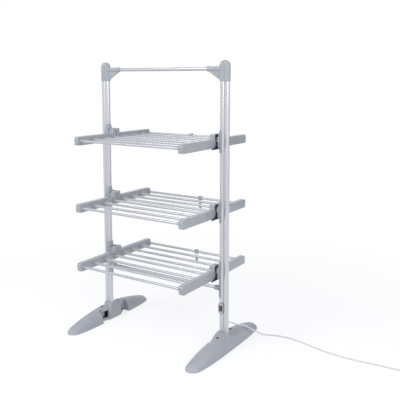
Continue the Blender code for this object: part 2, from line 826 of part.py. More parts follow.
def add_cord_curve(name, points, resolution):
    """A solid tube along the points, as a curve with filled ends."""
    curve = bpy.data.curves.new(name, "CURVE")
    curve.dimensions = "3D"
    curve.bevel_depth = cord_radius
    curve.bevel_resolution = resolution
    curve.use_fill_caps = True
    curve.materials.append(finish_material("white_flex"))
    spline = curve.splines.new("POLY")
    spline.points.add(len(points) - 1)
    for knot, point in zip(spline.points, points):
        knot.co = (*point, 1)
    spline.use_smooth = True
    item = bpy.data.objects.new(name, curve)
    bpy.context.scene.collection.objects.link(item)
    return item


def coil_points(start):
    """Flat coil of two layers: it spirals in, climbs where it turns back, and spirals out."""
    centre = Vector((start.x + 2 * cord_radius, start.y + coil_outer_radius, start.z))
    total = round(coil_turns * coil_points_per_turn)
    points = [start.copy()]
    for number in range(total + 1):
        turn = number / coil_points_per_turn
        middle = coil_turns / 2
        inward = middle - abs(turn - middle)
        radius = coil_outer_radius - coil_pitch * inward
        climb = min(max((turn - middle) * 2 + 0.5, 0), 1)
        lift = coil_layer_step * climb * climb * (3 - 2 * climb)
        angle = 2 * pi * turn - pi / 2
        points.append(centre + Vector((radius * cos(angle), radius * sin(angle), lift)))
    heading = (points[-1] - points[-2]).normalized()
    heading.z = 0
    points.append(points[-1] + coil_tail * heading)
    return points, heading


def least_gap(points):
    """Least clear distance between two turns of the coil, measured on points along it."""
    fine = even_points([Vector(point) for point in points], cord_radius)
    apart = round(pi * 2 * cord_radius / cord_radius)
    distances = []
    for first in range(len(fine)):
        for second in range(first + apart, len(fine)):
            distances.append((fine[first] - fine[second]).length)
    return min(distances) - 2 * cord_radius


def make_cord():
    """The free cord, its coil, and the plug that it ends in."""
    boot_end = lobe_radius + gland_flange_proud + gland_boot_length
    first = Vector((inner_lobe_x(right), boot_end + running_gap, gland_height))
    points = [first] + smooth_route(cord_route, cord_step)
    for point in points:
        point.z = max(point.z, cord_radius)
    add_cord_curve("mains_cord", points, cord_sides_resolution)
    heading = (points[-1] - points[-2]).normalized()
    start = points[-1] + heading * running_gap
    turns, end_heading = coil_points(start)
    add_cord_curve("cord_coil", turns, 1)
    print("least gap in the cord's coil, mm:", round(1000 * least_gap(turns), 2))
    make_plug(turns[-1] + end_heading * running_gap, end_heading)


def make_plug(place, heading):
    """Three-pin plug lying on its back, with the cord in its lower edge."""
    across = Vector((heading.y, -heading.x, 0))
    low = -place.z

    def at(along, sideways, z):
        return tuple(place + heading * along + across * sideways + Vector((0, 0, z)))

    def rounded(half_width, near, far, z):
        corners = [(far - plug_corner, half_width - plug_corner, 0),
                   (far - plug_corner, plug_corner - half_width, -pi / 2),
                   (near + plug_corner, plug_corner - half_width, -pi),
                   (near + plug_corner, half_width - plug_corner, -3 * pi / 2)]
        points = []
        for along, sideways, turn in corners:
            points += arc(along, sideways, plug_corner, turn + pi / 2, turn, corner_steps)
        return [at(a, b, z) for a, b in points]

    body_low, body_high = low, low + plug_thickness
    near, far = plug_nose_length, plug_nose_length + plug_length
    shrink = plug_corner / 2
    rings = [rounded(plug_width / 2 - shrink, near + shrink, far - shrink, body_low),
             rounded(plug_width / 2, near, far, body_low + shrink),
             rounded(plug_width / 2, near, far, body_high)]
    plug = solid("mains_plug", rings, finish="white_plug")
    nose_radius = plug_nose_width / 2
    nose_rings = []
    for along, radius in ((0, cord_radius + plug_corner / 4), (near + plug_corner, nose_radius)):
        ring = circle(0, 0, 1, bar_sides)
        nose_rings.append([at(along, radius * a, min(radius, -low) * b) for a, b in ring])
    combine(plug, solid("plug_nose", nose_rings), "UNION")
    pins = []
    earth_along = far - plug_length / 4
    pairs = [(earth_along, 0, plug_earth_height, plug_earth_width, plug_earth_length)]
    for sideways in (-plug_pin_spread / 2, plug_pin_spread / 2):
        pairs.append((earth_along - plug_earth_rise, sideways, plug_pin_thickness,
                      plug_pin_width, plug_pin_length))
    for along, sideways, deep, wide, long in pairs:
        outline = [(along - deep / 2, sideways - wide / 2), (along + deep / 2, sideways - wide / 2),
                   (along + deep / 2, sideways + wide / 2), (along - deep / 2, sideways + wide / 2)]
        pins.append([[at(a, b, z) for a, b in outline]
                     for z in (body_high - plug_pin_root, body_high + long)])
    combine(plug, solid("plug_pins", *pins), "UNION")


def make_airer():
    clear_scene()
    for side in (left, right):
        post = make_post(side)
        if side == right:
            cut_post_openings(post)
        make_top_cap(side)
        make_foot_block(side)
        for way in (front, back):
            make_foot_half(side, way)
        for tier in tier_heights:
            make_bracket(tier, side)
    make_top_rail()
    make_cross_tube()
    for tier in tier_heights:
        for way in (front, back):
            make_wing(tier, way)
    make_switch_housing()
    make_rocker()
    make_gland()
    make_cord()


make_airer()
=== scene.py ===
"""Looks of a heated clothes airer: two posts on folding feet, three tiers of bars.

Metres, +Z up, front towards -Y. The origin is on the floor, midway between the posts.
A side is -1 for the left post and +1 for the right one. A way is -1 for the front
and +1 for the back. Each piece is made in place and rides on its body of the frame.
"""
from math import cos, pi, radians, sin, sqrt

import bmesh
import bpy
from mathutils import Matrix, Vector


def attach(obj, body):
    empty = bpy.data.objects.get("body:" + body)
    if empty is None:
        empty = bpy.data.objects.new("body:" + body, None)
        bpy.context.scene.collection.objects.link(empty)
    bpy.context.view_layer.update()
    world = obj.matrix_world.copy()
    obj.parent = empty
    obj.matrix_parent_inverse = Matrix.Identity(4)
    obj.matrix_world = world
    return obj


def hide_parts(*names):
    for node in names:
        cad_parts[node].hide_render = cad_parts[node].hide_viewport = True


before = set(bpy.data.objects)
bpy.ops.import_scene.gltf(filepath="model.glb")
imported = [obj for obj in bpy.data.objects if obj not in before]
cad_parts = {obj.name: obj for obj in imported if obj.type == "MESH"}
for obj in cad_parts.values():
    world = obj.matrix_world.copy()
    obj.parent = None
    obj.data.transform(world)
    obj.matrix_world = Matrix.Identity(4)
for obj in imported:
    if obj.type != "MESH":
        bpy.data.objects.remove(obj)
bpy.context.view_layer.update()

left, right, front, back = -1, 1, -1, 1
side_names = {left: "left", right: "right"}
way_names = {front: "front", back: "back"}

# Sizes of the frame that the pieces follow
overall_height = 1.420
post_x = 0.375
gap = 0.0003
lobe_radius = 0.013
lobe_offset = 0.0115
groove_half = 0.0066
inner_lobe = post_x - lobe_offset
post_foot, post_top = 0.014, 1.390
cap_low = 1.319
cap_grow = 0.0033
dome_height = 0.024
socket_radius, socket_bead = 0.0123, 0.0009
gusset_drop, gusset_foot, gusset_half = 0.054, 0.3495, 0.006
rail_height = 1.379
rail_radius = 0.009
rail_reach = 0.276
cross_height = 0.300
cross_radius = 0.008
cross_reach = 0.322
tier_heights = {"top": 1.042, "middle": 0.697, "lower": 0.390}
arm_inner, arm_outer = 0.304, 0.332
arm_height = 0.045
arm_reach = 0.296
pivot = 0.0125
hub_radius = 0.0118
hub_top = pivot + hub_radius
bar_radius = 0.0065
bar_reach = 0.316
bar_drop = 0.0225
bar_places = (0.032, 0.113, 0.194, 0.275)
foot_length, foot_width, foot_height = 0.316, 0.052, 0.0755
foot_nose = 0.885
block_inner = 0.043
arch_root, arch_reach, arch_half, arch_height = 0.006, 0.044, 0.044, 0.080
collar_low, collar_rise = 0.052, 0.0302
hinge_set = 0.064
fork_root = 0.050
fork_radius = 0.031
fork_low, fork_high = 0.016, 0.054
knuckle = 0.0137
beyond_foot = foot_width + 0.004
under_floor, over_foot = -0.004, 0.08
switch_height = 0.203
switch_face = -0.0165
switch_x = inner_lobe + 0.0016
gland_height = 0.110
boot_root, boot_length = lobe_radius + 0.0035, 0.030
cord_radius = 0.0035


# Shapes

def arc(a, b, radius, start, end, steps):
    """Points of an arc in a plane, both ends included."""
    turns = [start + (end - start) * step / steps for step in range(steps + 1)]
    return [(a + radius * cos(turn), b + radius * sin(turn)) for turn in turns]


def circle(a, b, radius, sides=48):
    return arc(a, b, radius, 0, 2 * pi, sides)[:-1]


def round_box(a, b, half_a, half_b, corner, steps=6):
    """Rectangle with round corners, round its middle."""
    points = []
    for x, y, turn in ((1, 1, 0), (-1, 1, pi / 2), (-1, -1, pi), (1, -1, 3 * pi / 2)):
        points += arc(a + x * (half_a - corner), b + y * (half_b - corner), corner,
                      turn, turn + pi / 2, steps)
    return points


def stretch(outline, axis, low, high, between=()):
    """Rings of an outline at two or more places along an axis."""
    rings = []
    for place in (low, *between, high):
        if axis == "x":
            rings.append([(place, a, b) for a, b in outline])
        elif axis == "y":
            rings.append([(a, place, b) for a, b in outline])
        else:
            rings.append([(a, b, place) for a, b in outline])
    return rings


def turned(axis, centre, profile, sides=48):
    """Rings of a turned shape from places along its axis and the radius at each."""
    rings = []
    for place, radius in profile:
        ring = circle(centre[0], centre[1], radius, sides)
        rings += stretch(ring, axis, place, place)[:1]
    return rings


def solid(name, *bodies):
    """A mesh object of closed bodies, each a list of rings with a face on both ends."""
    bm = bmesh.new()
    for rings in bodies:
        loops = [[bm.verts.new(point) for point in ring] for ring in rings]
        bm.faces.new(loops[0])
        bm.faces.new(loops[-1])
        for first, second in zip(loops, loops[1:]):
            for index in range(len(first)):
                after = (index + 1) % len(first)
                bm.faces.new((first[index], first[after], second[after], second[index]))
    bmesh.ops.recalc_face_normals(bm, faces=bm.faces)
    mesh = bpy.data.meshes.new(name)
    bm.to_mesh(mesh)
    bm.free()
    item = bpy.data.objects.new(name, mesh)
    bpy.context.scene.collection.objects.link(item)
    return item


def settle(item):
    """Turns the object's modifiers into its mesh."""
    graph = bpy.context.evaluated_depsgraph_get()
    old = item.data
    mesh = bpy.data.meshes.new_from_object(item.evaluated_get(graph))
    item.modifiers.clear()
    item.data = mesh
    mesh.name = old.name
    bpy.data.meshes.remove(old)
    return item


def combine(target, operation, *tools):
    """Joins, cuts or trims the target by each tool, and keeps the tool's material."""
    for tool in tools:
        modifier = target.modifiers.new("Combine", "BOOLEAN")
        modifier.operation = operation
        modifier.object = tool
        modifier.solver = "EXACT"
        modifier.material_mode = "TRANSFER"
    settle(target)
    for tool in tools:
        mesh = tool.data
        bpy.data.objects.remove(tool)
        bpy.data.meshes.remove(mesh)
    return target


def ease(item, width, segments=3, angle=40):
    """Rounds the edges that are sharper than the angle."""
    modifier = item.modifiers.new("Ease", "BEVEL")
    modifier.width = width
    modifier.segments = segments
    modifier.limit_method = "ANGLE"
    modifier.angle_limit = radians(angle)
    modifier.use_clamp_overlap = True
    return settle(item)


def paint(item, material):
    item.data.materials.clear()
    item.data.materials.append(material)
    return item


def smooth(item, angle=34):
    """Round faces shade as round and flat ones as flat."""
    item.data.shade_smooth()
    item.data.set_sharp_from_angle(angle=radians(angle))
    modifier = item.modifiers.new("Normals", "WEIGHTED_NORMAL")
    modifier.keep_sharp = True
    modifier.weight = 60
    return settle(item)


def dress(item, body, nodes=(), material=None, angle=34):
    """Finishes a piece: material, shading, its body, and the nodes that it stands for."""
    if material:
        paint(item, material)
    if item.type == "MESH":
        smooth(item, angle)
    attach(item, body)
    if nodes:
        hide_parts(*nodes)
    return item


def copy_of(item, name, matrix):
    """A copy of a finished mesh, moved or mirrored, with its faces still turned out."""
    mesh = item.data.copy()
    mesh.name = name
    mesh.transform(matrix)
    if matrix.determinant() < 0:
        mesh.flip_normals()
    twin = bpy.data.objects.new(name, mesh)
    bpy.context.scene.collection.objects.link(twin)
    return twin


def drop(item):
    mesh = item.data
    bpy.data.objects.remove(item)
    bpy.data.meshes.remove(mesh)


# Materials

def add_node(tree, kind, **values):
    node = tree.nodes.new(kind)
    for key, value in values.items():
        if hasattr(node, key):
            setattr(node, key, value)
        else:
            node.inputs[key.replace("_", " ")].default_value = value
    return node


def noise(tree, scale, detail=3.0, stretch_by=(1, 1, 1)):
    """Noise in the object's own metres, finer along an axis where the stretch is larger."""
    place = add_node(tree, "ShaderNodeTexCoord")
    mapping = add_node(tree, "ShaderNodeMapping")
    mapping.inputs["Scale"].default_value = stretch_by
    texture = add_node(tree, "ShaderNodeTexNoise")
    texture.inputs["Scale"].default_value = scale
    texture.inputs["Detail"].default_value = detail
    tree.links.new(place.outputs["Object"], mapping.inputs["Vector"])
    tree.links.new(mapping.outputs["Vector"], texture.inputs["Vector"])
    return texture.outputs["Fac"]


def ranged(tree, source, low, high, from_low=0.3, from_high=0.7):
    node = add_node(tree, "ShaderNodeMapRange")
    for key, value in (("From Min", from_low), ("From Max", from_high),
                       ("To Min", low), ("To Max", high)):
        node.inputs[key].default_value = value
    tree.links.new(source, node.inputs["Value"])
    return node.outputs["Result"]


def mixed(tree, factor, first, second):
    node = add_node(tree, "ShaderNodeMix", data_type="RGBA")
    for socket, value in ((node.inputs[6], first), (node.inputs[7], second)):
        if isinstance(value, tuple):
            socket.default_value = (*value, 1)
        else:
            tree.links.new(value, socket)
    tree.links.new(factor, node.inputs[0])
    return node.outputs[2]


def new_material(name):
    material = bpy.data.materials.new(name)
    material.use_nodes = True
    return material, material.node_tree, material.node_tree.nodes["Principled BSDF"]


def shaded(colour, by):
    return tuple(min(max(part * by, 0), 1) for part in colour)


def plastic(name, colour, roughness, grain=1500, depth=0.00010, mottle=0.05, edge_highlight=1.25,
            coat=0.0):
    """Moulded plastic: a fine grain, faint clouds of colour, and a painted highlight that makes its
    edges paler.
    """
    material, tree, shader = new_material(name)
    clouds = noise(tree, 14, 4)
    base = mixed(tree, ranged(tree, clouds, 0, 1), shaded(colour, 1 - mottle),
                 shaded(colour, 1 + mottle))
    shape = add_node(tree, "ShaderNodeNewGeometry")
    # Convex edges, broken up by noise, get a paler colour: a painted highlight.
    edge = ranged(tree, shape.outputs["Pointiness"], 0, 0.7, 0.52, 0.62)
    scuff_and_highlight_noise = noise(tree, 90, 5)
    edge_highlight_mask = add_node(tree, "ShaderNodeMath", operation="MULTIPLY")
    tree.links.new(edge, edge_highlight_mask.inputs[0])
    tree.links.new(ranged(tree, scuff_and_highlight_noise, 0.1, 1), edge_highlight_mask.inputs[1])
    tree.links.new(mixed(tree, edge_highlight_mask.outputs[0], base, shaded(colour, edge_highlight)),
                   shader.inputs["Base Color"])
    tree.links.new(ranged(tree, scuff_and_highlight_noise, roughness - 0.07, roughness + 0.07),
                   shader.inputs["Roughness"])
    bump = add_node(tree, "ShaderNodeBump")
    bump.inputs["Strength"].default_value = 0.35
    bump.inputs["Distance"].default_value = depth
    tree.links.new(noise(tree, grain, 2), bump.inputs["Height"])
    tree.links.new(bump.outputs["Normal"], shader.inputs["Normal"])
    shader.inputs["Coat Weight"].default_value = coat
    shader.inputs["Coat Roughness"].default_value = 0.12
    shader.inputs["Specular IOR Level"].default_value = 0.45
    return material


def metal(name, colour, roughness, metallic, stretch_by, streak=0.06, depth=0.00004):
    """Drawn metal: streaks along its length in tone, roughness and relief, and faint marks."""
    material, tree, shader = new_material(name)
    lines = noise(tree, 900, 3, stretch_by)
    clouds = noise(tree, 9, 4)
    tone = mixed(tree, ranged(tree, lines, 0, 1), shaded(colour, 1 - streak),
                 shaded(colour, 1 + streak / 2))
    marks = mixed(tree, ranged(tree, clouds, 0, 0.5), tone, shaded(colour, 1 - 2 * streak))
    tree.links.new(marks, shader.inputs["Base Color"])
    tree.links.new(ranged(tree, lines, roughness - 0.05, roughness + 0.06),
                   shader.inputs["Roughness"])
    bump = add_node(tree, "ShaderNodeBump")
    bump.inputs["Strength"].default_value = 0.12
    bump.inputs["Distance"].default_value = depth
    tree.links.new(lines, bump.inputs["Height"])
    tree.links.new(bump.outputs["Normal"], shader.inputs["Normal"])
    shader.inputs["Metallic"].default_value = metallic
    return material


post_metal = metal("anodised_post", (0.61, 0.625, 0.665), 0.22, 0.88, (1, 1, 0.012), 0.03)
bar_metal = metal("coated_bar", (0.52, 0.53, 0.57), 0.28, 0.62, (0.012, 1, 1), 0.03)
grey = plastic("grey_moulding", (0.390, 0.416, 0.458), 0.40, coat=0.55)
pale_grey = plastic("pale_moulding", (0.47, 0.49, 0.54), 0.40, coat=0.55)
foot_grey = plastic("foot_moulding", (0.42, 0.445, 0.492), 0.50, edge_highlight=1.15, coat=0.15)
# Black for the black parts, and painted shade on the cut walls of the foot's slots and holes.
black_and_painted_shade = plastic("black_moulding_and_painted_shade", (0.022, 0.024, 0.030), 0.42, mottle=0.15, edge_highlight=1.8)
plate_grey = plastic("switch_plate_moulding", (0.52, 0.54, 0.60), 0.42)
ring_grey = plastic("switch_ring_moulding", (0.33, 0.36, 0.39), 0.42)
red = plastic("red_lens", (0.20, 0.045, 0.055), 0.28, grain=700, depth=0.00003, coat=0.5)
dark_red = plastic("dark_lens", (0.065, 0.030, 0.040), 0.30, grain=700, depth=0.00003, coat=0.4)
flex_white = plastic("flex_sheath", (0.80, 0.80, 0.82), 0.48, grain=900, mottle=0.03, edge_highlight=1.0)
plug_white = plastic("plug_moulding", (0.82, 0.82, 0.83), 0.36, grain=1100, mottle=0.03, edge_highlight=1.0)
brass = metal("brass_pin", (0.72, 0.56, 0.28), 0.28, 1.0, (1, 1, 0.05))
screw_metal = metal("dark_screw", (0.045, 0.045, 0.052), 0.42, 0.5, (1, 1, 1))


# Posts

def lobed(grow=0.0, fill=0.0, steps=16):
    """Plan of the post: two lobes and the groove between them, which fill closes.

    It can grow on all sides, and the groove's floor then rises by less than the lobes do.
    """
    radius = lobe_radius + grow
    groove_floor = groove_half + grow * 0.6
    upper = []
    for step in range(1, 2 * steps):
        a = lobe_offset * (1 - step / steps)
        bulge = max(sqrt(radius ** 2 - (abs(a) - lobe_offset) ** 2), groove_floor)
        upper.append((a, bulge + (radius - bulge) * fill))
    outline = arc(lobe_offset, 0, radius, -pi / 2, pi / 2, steps) + upper
    outline += arc(-lobe_offset, 0, radius, pi / 2, 3 * pi / 2, steps)
    return outline + [(-a, -b) for a, b in upper]


def make_posts():
    outline = [(post_x + a, b) for a, b in lobed(steps=20)]
    parts = 12
    levels = [post_foot + (post_top - post_foot) * step / parts for step in range(parts + 1)]
    post = solid("post", stretch(outline, "z", levels[0], levels[-1], levels[1:-1]))
    for side in (left, right):
        twin = copy_of(post, side_names[side] + "_post_extrusion",
                       Matrix.Diagonal((side, 1, 1, 1)))
        dress(twin, "frame", [side_names[side] + "_post"], post_metal, 50)
    drop(post)


def cap_rings():
    """The cap's skin: a small foot chamfer, straight sides, and a dome that loses the groove."""
    dome_low = overall_height - dome_height
    chamfer = 0.0007
    rings = [(cap_low, cap_grow - chamfer, 1, 0), (cap_low + chamfer, cap_grow, 1, 0)]
    rings += [(cap_low + (dome_low - cap_low) * part, cap_grow, 1, 0) for part in (0.5, 1)]
    steps, crown_spread = 14, 0.04
    for step in range(1, steps + 1):
        turn = pi / 2 * step / steps
        spread = max(cos(turn), 0) ** 0.96
        rings.append((dome_low + dome_height * sin(turn), cap_grow, max(spread, crown_spread),
                      min(1, (step / steps) ** 1.4)))
    return [[(post_x + a * spread, b * spread, z) for a, b in lobed(grow, fill)]
            for z, grow, spread, fill in rings]


def make_caps():
    """Domed cap, with the socket that takes the rail and the gusset under it."""
    cap = solid("cap", cap_rings())
    end = rail_reach
    bead_radius = socket_radius + socket_bead
    profile = [(inner_lobe, socket_radius), (end + 0.0075, socket_radius),
               (end + 0.0065, bead_radius), (end + 0.0012, bead_radius),
               (end, socket_radius - 0.0004), (end, rail_radius + 0.0006),
               (end + 0.002, rail_radius + 0.0001)]
    socket = solid("socket", turned("x", (0, rail_height), profile))
    low = rail_height - gusset_drop
    start = Vector((end + 0.003, rail_height - socket_radius + 0.003))
    finish = Vector((gusset_foot, low))
    outline = [(inner_lobe, rail_height), (start.x, rail_height), tuple(start)]
    parts, bulge = 10, 0.0004
    for step in range(1, parts):
        point = start.lerp(finish, step / parts)
        swell = bulge * sin(pi * step / parts)
        outline.append((point.x + swell * 0.66, point.y + swell * 0.75))
    outline += [tuple(finish), (inner_lobe, low)]
    gusset = ease(solid("gusset", stretch(outline, "y", -gusset_half, gusset_half)), 0.0014, 3)
    combine(cap, "UNION", socket, gusset)
    for side in (left, right):
        twin = copy_of(cap, side_names[side] + "_cap_moulding",
                       Matrix.Diagonal((side, 1, 1, 1)))
        dress(twin, "frame", [side_names[side] + "_top_cap"], grey, 40)
    drop(cap)


def even_profile(reach, radius, parts=6):
    """Profile of a plain tube, ringed evenly to both sides of the middle."""
    return [(reach * step / parts, radius) for step in range(-parts, parts + 1)]


def make_rails():
    """Top rail and cross tube, each from inside one socket to inside the other."""
    for name, node, height, radius, reach in (
            ("top_rail_tube", "top_rail", rail_height, rail_radius, rail_reach + 0.030),
            ("cross_tube_bar", "cross_tube", cross_height, cross_radius, cross_reach + 0.016)):
        tube = solid(name, turned("x", (0, height), even_profile(reach, radius)))
        dress(tube, "frame", [node], bar_metal, 60)


# Brackets

def plate_outline():
    """Side of the hinge plate: a broad head for the pins, a waist, and a foot."""
    head_half, head_corner = 0.0185, 0.007
    half = [(0.053, -0.050), (0.053, -0.0456), (0.024, -0.0398), (0.0200, -0.0372),
            (0.0155, -0.0290), (0.0131, -0.0200), (0.0125, -0.0085), (0.0145, -0.0040),
            (head_half, -0.0010)]
    half += arc(head_half - head_corner, hub_top - head_corner, head_corner, 0, pi / 2, 8)
    return half + [(-y, z) for y, z in reversed(half)]


def make_bracket(drop_by, cup):
    """Saddle round the post's inner lobe, neck, black hinge plate, and lips under the arms.

    Heights are from the top of the arms. The lowest tier's bracket has a cup for the tube.
    """
    saddle_wall, saddle_top, sweep = 0.003, 0.045, radians(92)
    saddle_inner = lobe_radius + gap
    wrap = arc(lobe_offset, 0, saddle_inner + saddle_wall, -sweep, sweep, 30)
    wrap += arc(lobe_offset, 0, saddle_inner, sweep, -sweep, 30)
    outline = [(post_x - a, b) for a, b in wrap]
    bracket = ease(solid("bracket", stretch(outline, "z", -drop_by, saddle_top)), 0.0009, 3)
    paint(bracket, grey)
    face = arm_outer + gap
    saddle_face = post_x - 0.0250
    neck_outline = round_box(0, -0.0165, 0.011, 0.0265, 0.004)
    neck = solid("neck", stretch(neck_outline, "x", face + 0.0025, saddle_face))
    paint(neck, pale_grey)
    web = [(saddle_face - 0.0020, 0.040), (saddle_face, 0.040), (saddle_face, 0.002),
           (face + 0.0045, 0.002), (face + 0.0045, 0.010), (face + 0.0065, 0.017)]
    web = ease(solid("web", stretch(web, "y", -0.0060, 0.0060)), 0.0012, 3)
    paint(web, grey)
    plate = ease(solid("plate", stretch(plate_outline(), "x", face, face + 0.005)), 0.0008, 3)
    paint(plate, black_and_painted_shade)
    heel = [(0.0145, -0.0470), (0.0145, -0.0300), (0.0125, -0.0140), (-0.0125, -0.0140),
            (-0.0145, -0.0300), (-0.0145, -0.0470)]
    heel = ease(solid("heel", stretch(heel, "x", face + 0.001, face + 0.0100)), 0.0012, 3)
    paint(heel, black_and_painted_shade)
    lips = []
    for way in (front, back):
        lip_outline = round_box(way * 0.0213, -0.0473, 0.0031, 0.0020, 0.0012, 3)
        lip = solid("lip", stretch(lip_outline, "x", face - 0.014, face + 0.002))
        lips.append(paint(lip, pale_grey))
    tools = [neck, web, plate, heel, *lips]
    if cup:
        level = cross_height - tier_heights["lower"]
        cup_radius = 0.0130
        profile = [(saddle_face, cup_radius), (cross_reach + 0.0018, cup_radius),
                   (cross_reach, cup_radius - 0.0012), (cross_reach, cross_radius + 0.0006),
                   (cross_reach + 0.003, cross_radius + 0.0001)]
        tools.append(paint(solid("cup", turned("x", (0, level), profile)), grey))
    combine(bracket, "UNION", *tools)
    return bracket


def make_brackets():
    for cup, tiers, drop_by in ((False, ("top", "middle"), 0.066), (True, ("lower",), 0.1355)):
        bracket = make_bracket(drop_by, cup)
        for tier in tiers:
            for side in (left, right):
                name = tier + "_" + side_names[side] + "_bracket"
                matrix = Matrix.Translation((0, 0, tier_heights[tier]))
                twin = copy_of(bracket, name + "_moulding",
                               matrix @ Matrix.Diagonal((side, 1, 1, 1)))
                dress(twin, "frame", [name])
        drop(bracket)


# Wings

def arm_outline():
    """Side of an arm: distance out from the middle of the tier, height above its top."""
    inner, low_corner = 0.0007, 0.004
    hub_reach, hub_corner, fillet = 0.026, 0.007, 0.005
    tip_low, tip_high = 0.013, 0.016
    points = arc(inner + low_corner, low_corner - arm_height, low_corner, pi, 3 * pi / 2, 6)
    points += arc(arm_reach - tip_low, tip_low - arm_height, tip_low, -pi / 2, 0, 10)
    points += arc(arm_reach - tip_high, -tip_high, tip_high, 0, pi / 2, 10)
    points += arc(hub_reach + fillet, fillet, fillet, -pi / 2, -pi, 8)
    points += arc(hub_reach - hub_corner, hub_top - hub_corner, hub_corner, 0, pi / 2, 8)
    points += arc(pivot, pivot, hub_radius, pi / 2, pi, 10)
    return points


def make_arm():
    """Box arm with a raised hub, a tip that is round in plan, and a boss for each bar."""
    outline = [(-s, z) for s, z in arm_outline()]
    arm = ease(solid("arm", stretch(outline, "x", arm_inner, arm_outer)), 0.0038, 5)
    corner, clear = 0.0092, 0.0002
    inner, outer, tip = arm_inner - clear, arm_outer + clear, -arm_reach - clear
    plan = arc(inner + corner, tip + corner, corner, pi, 3 * pi / 2, 10)
    plan += arc(outer - corner, tip + corner, corner, -pi / 2, 0, 10)
    plan += [(outer, 0.010), (inner, 0.010)]
    combine(arm, "INTERSECT", solid("plan", stretch(plan, "z", -0.060, 0.040)))
    bosses = []
    end, boss_radius = arm_inner - 0.010, 0.0105
    for place in bar_places:
        profile = [(arm_inner + 0.004, boss_radius), (arm_inner + 0.0004, boss_radius),
                   (end + 0.0016, 0.0101), (end + 0.0005, 0.0097), (end, 0.0088),
                   (end, 0.0075), (end + 0.0008, 0.0066)]
        bosses.append(solid("boss", turned("x", (-place, -bar_drop), profile, 40)))
    combine(arm, "UNION", *bosses)
    return arm


def make_wings():
    arm = paint(make_arm(), grey)
    for tier, level in tier_heights.items():
        for way in (front, back):
            label = tier + "_" + way_names[way]
            body = label + "_wing"
            for side in (left, right):
                name = label + "_" + side_names[side] + "_arm"
                matrix = (Matrix.Translation((0, 0, level))
                          @ Matrix.Diagonal((side, -way, 1, 1)))
                dress(copy_of(arm, name + "_moulding", matrix), body, [name])
            for index, place in enumerate(bar_places):
                name = label + "_bar_" + str(index + 1)
                tube = solid(name + "_tube", turned("x", (way * place, level - bar_drop),
                                                    even_profile(bar_reach, bar_radius), 32))
                dress(tube, body, [name], bar_metal, 60)
    drop(arm)


def make_clips():
    """A clip on each outermost back bar: a band over the bar and a plate that hangs from it."""
    y, half = bar_places[-1], 0.011
    clip = solid("clip", stretch(circle(y, 0, 0.0088, 36), "x", -half, half))
    neck = solid("neck", stretch(round_box(y, 0.0070, 0.0046, 0.0052, 0.0018), "x", -half, half))
    plate = solid("plate", stretch(round_box(y, -0.0310, 0.0015, 0.0255, 0.0012), "x",
                                   0.003 - half, half - 0.003))
    combine(clip, "UNION", neck, plate)
    window = round_box(0, -0.0195, half - 0.0045, 0.0080, 0.0025)
    window = solid("window", stretch(window, "y", y - 0.01, y + 0.01))
    bore = circle(y, 0, bar_radius + 0.0002, 36)
    bore = solid("bore", stretch(bore, "x", -half - 0.01, half + 0.01))
    combine(clip, "DIFFERENCE", bore, window)
    ease(clip, 0.0006, 3)
    for tier, x in (("top", -0.002), ("middle", 0.057), ("lower", 0.033)):
        matrix = Matrix.Translation((x, 0, tier_heights[tier] - bar_drop))
        twin = copy_of(clip, tier + "_back_clip", matrix)
        dress(twin, tier + "_back_wing", (), grey)
    drop(clip)


# Feet

def foot_size(distance):
    """Height and half width of a foot at a distance from the post: it falls to a round nose."""
    share = min(distance / foot_length, 1)
    nose = sqrt(max(1 - (max(share - foot_nose, 0) / (1 - foot_nose)) ** 2, 0))
    height = foot_height * (1 - 0.74 * share ** 1.8) * nose
    half_width = foot_width * (1 - 0.40 * share ** 3.8) * nose
    return max(height, 0.0016), max(half_width, 0.0030)


def foot_section(y, height, half_width, steps=24):
    """Upright section of a foot: flat under, round from one edge over to the other."""
    start, inset = 0.035, 0.0012
    outline = [(half_width - inset, 0)]
    outline += [(half_width * a, height * b) for a, b in arc(0, 0, 1, start, pi - start, steps)]
    outline.append((inset - half_width, 0))
    return [(post_x + a, y, b) for a, b in outline]


def foot_rings(low, high):
    """Sections of a foot from one place along Y to another, closer together at its tips."""
    count, apart = 40, 0.0005
    places = {low, high}
    for step in range(-count, count + 1):
        y = foot_length * sin(pi / 2 * step / count)
        if low + apart < y < high - apart:
            places.add(y)
    return [foot_section(y, *foot_size(abs(y))) for y in sorted(places)]


def fork_plan():
    """Plan of the block: round at both forks, full width outside and narrower inside."""
    plan = []
    for way, start in ((front, pi), (back, 0)):
        plan += arc(post_x, way * hinge_set, fork_radius, start, start + pi, 28)
        edge = beyond_foot if way == front else block_inner
        root = way * fork_root
        for across, y in ((fork_radius, root), (edge, root), (edge, -root), (fork_radius, -root)):
            plan.append((post_x - way * across, y))
    return solid("plan", stretch(plan, "z", under_floor, over_foot))


def make_collar():
    """Flare from the block up to the post, which takes on the post's groove as it rises."""
    parts, thin, spread = 12, 0.0045, 0.0115
    rings = []
    for step in range(parts + 1):
        part = step / parts
        outline = lobed(thin + spread * (1 - part) ** 1.9, 0.35 * (1 - part))
        rings.append([(post_x + a, b, collar_low + collar_rise * part) for a, b in outline])
    rings.append([(post_x + a, b, 0.083) for a, b in lobed(0.0038, 0)])
    return solid("collar", rings)


def make_arch():
    """Arched face on the block's inner side, which leans in to the collar above half height."""
    parts = 16
    rings = []
    for step in range(parts + 1):
        part = step / parts
        rise = max(part - 0.5, 0) * 2
        lean = arch_reach * (1 - 0.31 * rise ** 1.7)
        length = arch_half * (1 - 0.68 * rise ** 1.9)
        plan = round_box(-(lean + arch_root) / 2, 0, (lean - arch_root) / 2, length, 0.0022, 3)
        rings.append([(post_x + a, b, arch_height * part) for a, b in plan])
    return solid("arch", rings)


